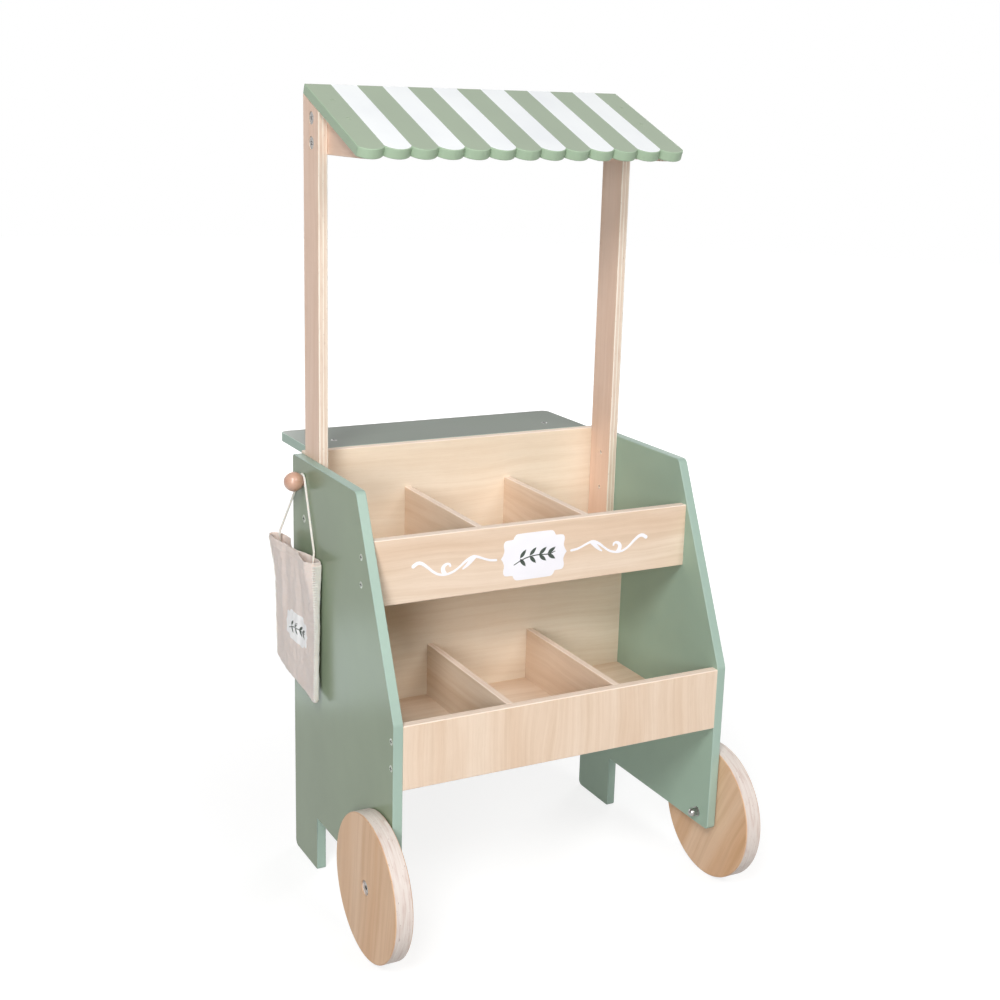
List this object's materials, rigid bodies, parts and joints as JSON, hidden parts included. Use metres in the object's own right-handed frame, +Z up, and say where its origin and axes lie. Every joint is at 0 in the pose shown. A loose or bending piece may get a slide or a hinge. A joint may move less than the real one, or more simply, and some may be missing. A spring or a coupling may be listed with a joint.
{
  "type": "toy market stall",
  "caption": "Wheeled toy market stall with sage side panels, two divided trays, a rear counter, a striped scalloped roof on posts and a cloth bag on a ball peg.",
  "frame": {"origin": "on the floor, under the middle of the stall's outer box", "axes": "+X to the right, the front faces -Y, +Z up"},
  "size_m": [0.4989, 0.493, 0.9775],
  "materials": {
    "sage_paint": "satin sage paint on fibreboard",
    "striped_paint": "satin sage and white stripes on fibreboard",
    "birch_plywood": "clear lacquered plywood",
    "wheel_plywood": "clear lacquered plywood disc",
    "beech": "clear lacquered beech",
    "plated_steel": "bright zinc plate",
    "painted_steel": "painted over with the roof",
    "cotton_cloth": "natural cotton canvas",
    "cotton_cord": "natural cotton cord"
  },
  "bodies": {
    "stall": {"left_side_panel": "sage_paint", "right_side_panel": "sage_paint", "upper_front_board": "birch_plywood", "lower_front_board": "birch_plywood", "upper_back_board": "birch_plywood", "lower_back_board": "birch_plywood", "upper_shelf": "birch_plywood", "lower_shelf": "birch_plywood", "upper_left_divider": "birch_plywood", "upper_right_divider": "birch_plywood", "lower_left_divider": "birch_plywood", "lower_right_divider": "birch_plywood", "counter_top": "sage_paint", "left_counter_bracket": "birch_plywood", "right_counter_bracket": "birch_plywood", "left_post": "birch_plywood", "right_post": "birch_plywood", "left_roof_gusset": "birch_plywood", "right_roof_gusset": "birch_plywood", "roof_board": "striped_paint", "left_axle_bolt": "plated_steel", "right_axle_bolt": "plated_steel", "axle_washers": "plated_steel", "axle_cap_nuts": "plated_steel", "post_bolts": "plated_steel", "gusset_bolts": "plated_steel", "gusset_sleeve_nuts": "plated_steel", "front_board_screws": "plated_steel", "roof_screws": "painted_steel", "counter_screws": "plated_steel", "shelf_dowels": "beech", "back_board_dowels": "beech", "bracket_dowels": "beech", "peg_knob": "beech", "peg_stud": "plated_steel"},
    "left_wheel": {"left_wheel": "wheel_plywood"},
    "right_wheel": {"right_wheel": "wheel_plywood"},
    "bag": {"bag": "cotton_cloth", "bag_cord": "cotton_cord"}
  },
  "joints": [
    {"name": "left_wheel_spin", "type": "hinge", "parent": "stall", "child": "left_wheel", "pos_m": [-0.2375, -0.159, 0.0875], "axis": [1, 0, 0], "continuous": true},
    {"name": "right_wheel_spin", "type": "hinge", "parent": "stall", "child": "right_wheel", "pos_m": [0.2375, -0.159, 0.0875], "axis": [1, 0, 0], "continuous": true},
    {"name": "bag_swing", "type": "hinge", "parent": "stall", "child": "bag", "pos_m": [-0.2268, 0.093, 0.50796], "axis": [1, 0, 0], "range_deg": [-45, 45]}
  ]
}
